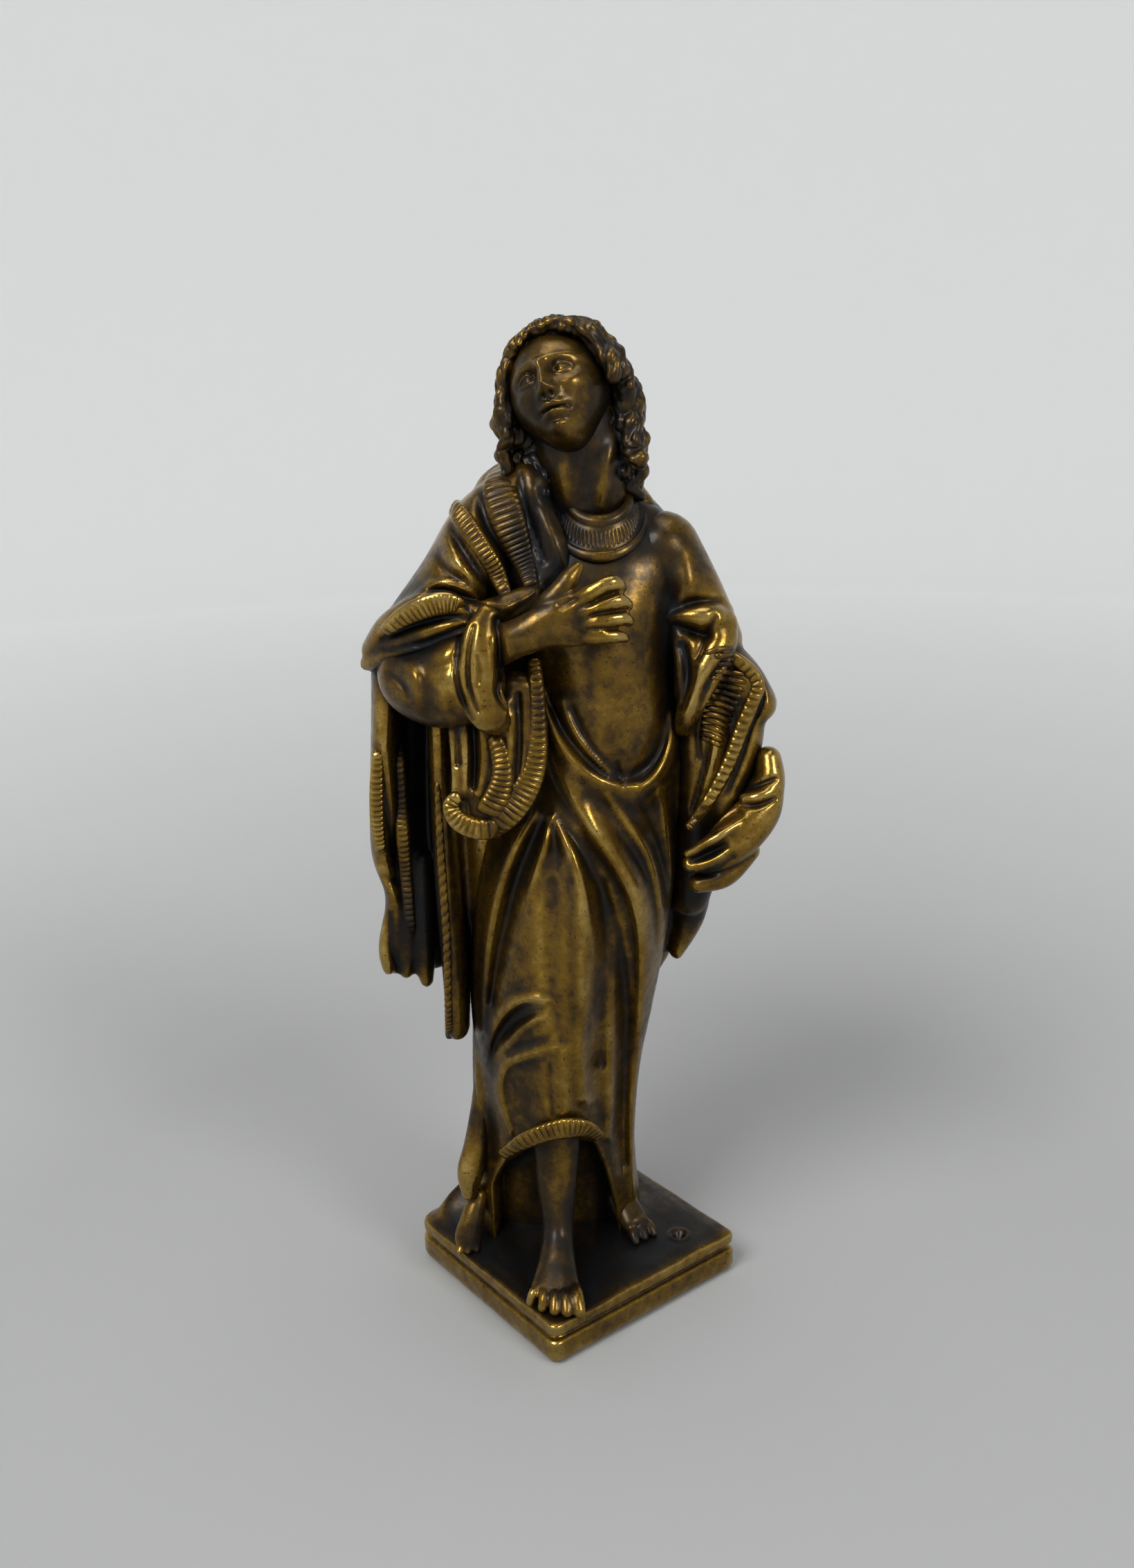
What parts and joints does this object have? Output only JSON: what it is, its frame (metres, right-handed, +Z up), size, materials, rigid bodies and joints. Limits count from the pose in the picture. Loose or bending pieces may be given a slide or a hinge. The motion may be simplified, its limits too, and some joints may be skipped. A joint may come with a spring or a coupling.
{
  "type": "bronze saint statuette",
  "caption": "Small cast bronze figure of a robed saint gazing upward, hand on chest, on its own moulded square base",
  "frame": {"origin": "centre of the square base's flat underside, on the surface that the statuette stands on", "axes": "+Z up along the figure, -Y towards the base's front corner, which the figure faces, +X towards the figure's left hand"},
  "size_m": [0.0639, 0.0525, 0.1518],
  "materials": {
    "bronze": "worn golden-brown bronze with near-black patina in the hollows"
  },
  "bodies": {
    "root": {"saint_statuette": "bronze"}
  },
  "joints": []
}
